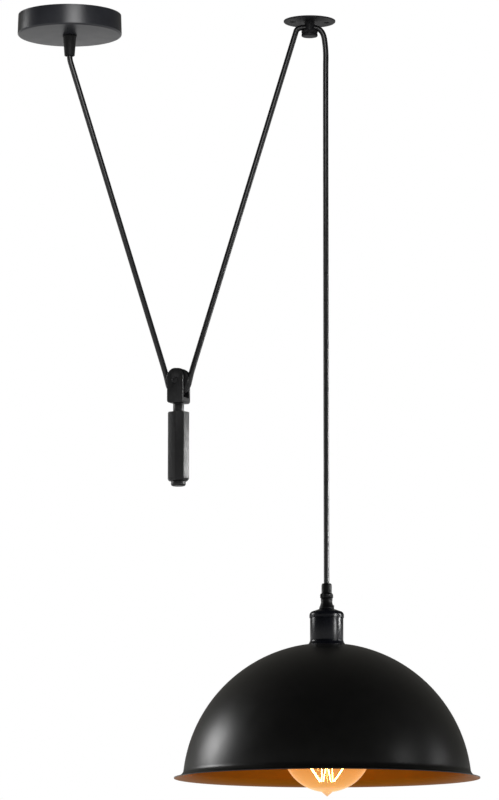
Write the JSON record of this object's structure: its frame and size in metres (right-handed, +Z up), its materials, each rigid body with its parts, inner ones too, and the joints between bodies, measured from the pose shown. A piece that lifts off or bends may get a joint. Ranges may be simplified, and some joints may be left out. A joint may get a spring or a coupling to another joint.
{
  "type": "rise and fall pendant",
  "caption": "Pendant lamp with a dome shade whose cord runs over a ceiling guide and down round the wheel of a counterweight, so the lamp pulls up and down.",
  "frame": {"origin": "middle of the ceiling bracket, on the ceiling", "axes": "+Z up, +X from the rose to the lamp"},
  "size_m": [0.5346, 0.3498, 0.9049],
  "materials": {
    "black_lacquer": "satin black lacquer",
    "shade_metal": "satin black outside, gold inside",
    "weight_steel": "matt black oxide",
    "grip_black": "fine matt grain",
    "flex_sheath": "glossy round flex",
    "core_brown": "insulated core",
    "core_blue": "insulated core",
    "core_green": "insulated core",
    "zinc_steel": "zinc plated",
    "black_screws": "black",
    "brass_parts": "bright",
    "block_nylon": "natural nylon",
    "wheel_nylon": "turned black nylon",
    "socket_ceramic": "unglazed",
    "bulb_glass": "clear",
    "stem_glass": "clear",
    "filament": "glowing",
    "bulb_insulator": "black glass bead"
  },
  "bodies": {
    "rose": {"canopy": "black_lacquer", "ceiling_bracket": "zinc_steel", "canopy_screws": "black_screws", "terminal_block": "block_nylon", "terminal_tubes": "brass_parts", "terminal_screws": "zinc_steel", "terminal_block_screw": "zinc_steel", "earth_tag": "zinc_steel", "earth_screw": "brass_parts", "canopy_grip": "grip_black", "canopy_grip_nut": "grip_black", "canopy_grip_screw": "black_screws", "cord_in_canopy": "flex_sheath", "core_live": "core_brown", "core_neutral": "core_blue", "core_earth": "core_green", "guide_plate": "black_lacquer", "guide_post": "black_lacquer", "guide_nut": "black_lacquer", "guide_post_screw": "zinc_steel", "cord_in_guide": "flex_sheath"},
    "bight": {"cord_left_leg": "flex_sheath", "cord_right_leg": "flex_sheath"},
    "counterweight": {"fork": "weight_steel", "wheel_bush": "brass_parts", "axle_washers": "zinc_steel", "axle_barrel": "black_screws", "axle_screw": "black_screws", "fork_stem": "weight_steel", "weight_bar": "weight_steel", "weight_plug": "weight_steel", "cord_on_wheel": "flex_sheath"},
    "wheel": {"pulley_wheel": "wheel_nylon"},
    "drop": {"cord_drop": "flex_sheath"},
    "lamp": {"lamp_grip_nut": "grip_black", "lamp_grip_seal": "flex_sheath", "lamp_grip": "grip_black", "lamp_grip_screw": "zinc_steel", "holder_cap_nut": "zinc_steel", "holder_cap": "black_lacquer", "holder_cup": "black_lacquer", "shade_collar": "black_lacquer", "holder_skirt": "block_nylon", "holder_core": "socket_ceramic", "screw_shell": "brass_parts", "centre_contact": "brass_parts", "holder_terminal_screws": "brass_parts", "shade_ring": "black_lacquer", "shade": "shade_metal", "cord_in_lamp": "flex_sheath", "lamp_core_live": "core_brown", "lamp_core_neutral": "core_blue"},
    "bulb": {"bulb_cap": "brass_parts", "bulb_insulator": "bulb_insulator", "bulb_contact": "zinc_steel", "bulb_glass": "bulb_glass", "bulb_stem": "stem_glass", "bulb_supports": "zinc_steel", "bulb_filaments": "filament"}
  },
  "joints": [
    {"name": "weight_swing", "type": "hinge", "parent": "rose", "child": "bight", "pos_m": [0, 0, -0.0448], "axis": [0.9912, 0, 0.1324], "range_deg": [-10, 10]},
    {"name": "weight_travel", "type": "slide", "parent": "bight", "child": "counterweight", "axis": [0, 0, 1], "range_m": [-0.08, 0.16], "deforming": ["cord_left_leg", "cord_right_leg"]},
    {"name": "wheel_turn", "type": "hinge", "parent": "counterweight", "child": "wheel", "pos_m": [0.1279, 0, -0.4276], "axis": [0.506, 0.8625, 0], "continuous": true},
    {"name": "lamp_swing", "type": "hinge", "parent": "rose", "child": "drop", "pos_m": [0.285, 0, -0.0079], "axis": [1, 0, 0], "range_deg": [-12, 12]},
    {"name": "lamp_travel", "type": "slide", "parent": "drop", "child": "lamp", "axis": [0, 0, 1], "range_m": [-0.3, 0.15], "deforming": ["cord_drop"]},
    {"name": "bulb_travel", "type": "slide", "parent": "lamp", "child": "bulb", "axis": [0, 0, 1], "range_m": [-0.15, 0]}
  ],
  "couplings": [
    {"joint": "weight_travel", "follows": "lamp_travel", "ratio": -0.53},
    {"joint": "wheel_turn", "follows": "lamp_travel", "rad_per_m": 37}
  ]
}
